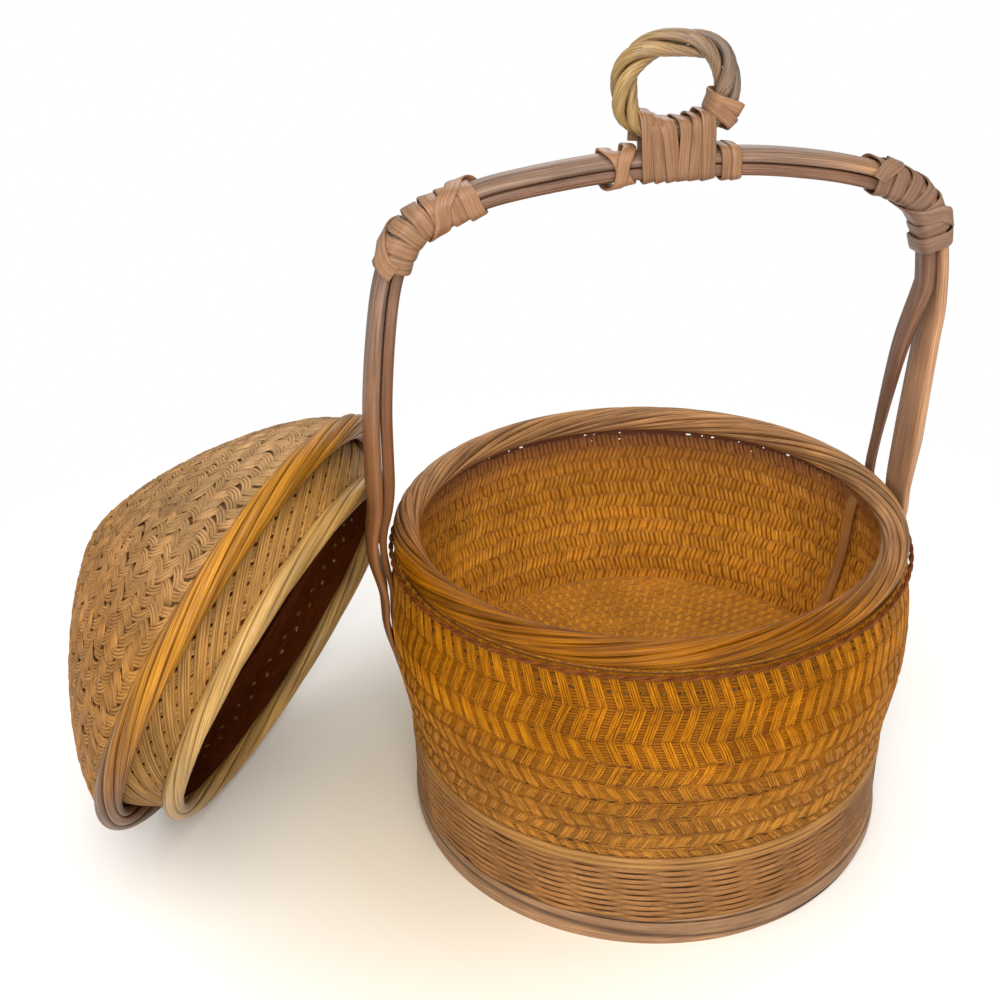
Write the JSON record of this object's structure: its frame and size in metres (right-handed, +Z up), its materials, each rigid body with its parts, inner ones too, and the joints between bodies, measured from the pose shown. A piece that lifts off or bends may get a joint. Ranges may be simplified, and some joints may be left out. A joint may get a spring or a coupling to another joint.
{
  "type": "lidded handled basket",
  "caption": "Round woven cane basket on a foot, with a hoop handle, a hanging ring lashed on top and a loose domed lid leaning at its side.",
  "frame": {"origin": "middle of the whole footprint, basket and leaning lid, at the height of the floor", "axes": "+Z up, X along the handle with the leaning lid on the -X side, Y through the handle"},
  "size_m": [0.3436, 0.2122, 0.3116],
  "materials": {
    "amber_twill_weave": "varnished, satin, fine twill weave",
    "golden_floor_weave": "varnished weave, satin",
    "hidden_hoop_cane": "plain cane",
    "brown_rim_rod": "varnished round rod, semi-gloss",
    "brown_twined_cord": "twined split cane, satin",
    "smooth_foot_rod": "varnished round rod, semi-gloss",
    "foot_randing_cane": "woven rods, satin",
    "grey_brown_border_cane": "worn varnish, satin",
    "varnished_splint": "varnished split cane with long fibres",
    "red_brown_splint": "varnished split cane with long fibres",
    "tan_binding_cane": "flat split cane, semi-gloss",
    "golden_ring_cane": "twisted split cane, semi-gloss",
    "tan_dome_weave": "woven flat strands, satin",
    "orange_lid_rim_cane": "flat varnished strands, gloss",
    "pale_collar_weave": "unstained weave, satin",
    "olive_collar_edge_cane": "flat strands, satin"
  },
  "bodies": {
    "basket": {"base_mat": "golden_floor_weave", "foot_border": "grey_brown_border_cane", "foot_randing": "foot_randing_cane", "foot_top_rods": "smooth_foot_rod", "handle_inner_splint": "red_brown_splint", "handle_outer_splint": "varnished_splint", "hanging_ring": "golden_ring_cane", "lashing_left": "tan_binding_cane", "lashing_right": "tan_binding_cane", "rim_core_hoop": "hidden_hoop_cane", "rim_rods": "brown_rim_rod", "rim_seating_cord": "brown_twined_cord", "ring_lashing": "tan_binding_cane", "ring_tie_base": "tan_binding_cane", "ring_tie_left": "tan_binding_cane", "ring_tie_right": "tan_binding_cane", "wall_weave": "amber_twill_weave"},
    "lid": {"lid_collar": "pale_collar_weave", "lid_dome": "tan_dome_weave", "lid_edge_core": "hidden_hoop_cane", "lid_edge_strands": "olive_collar_edge_cane", "lid_rim_core": "hidden_hoop_cane", "lid_rim_strands": "orange_lid_rim_cane"}
  },
  "joints": [
    {"name": "lid_tip", "type": "hinge", "parent": "basket", "child": "lid", "pos_m": [-0.13805, 0.03689, 0.0051], "axis": [-0.4679, -0.8838, 0], "range_deg": [0, 63]}
  ]
}
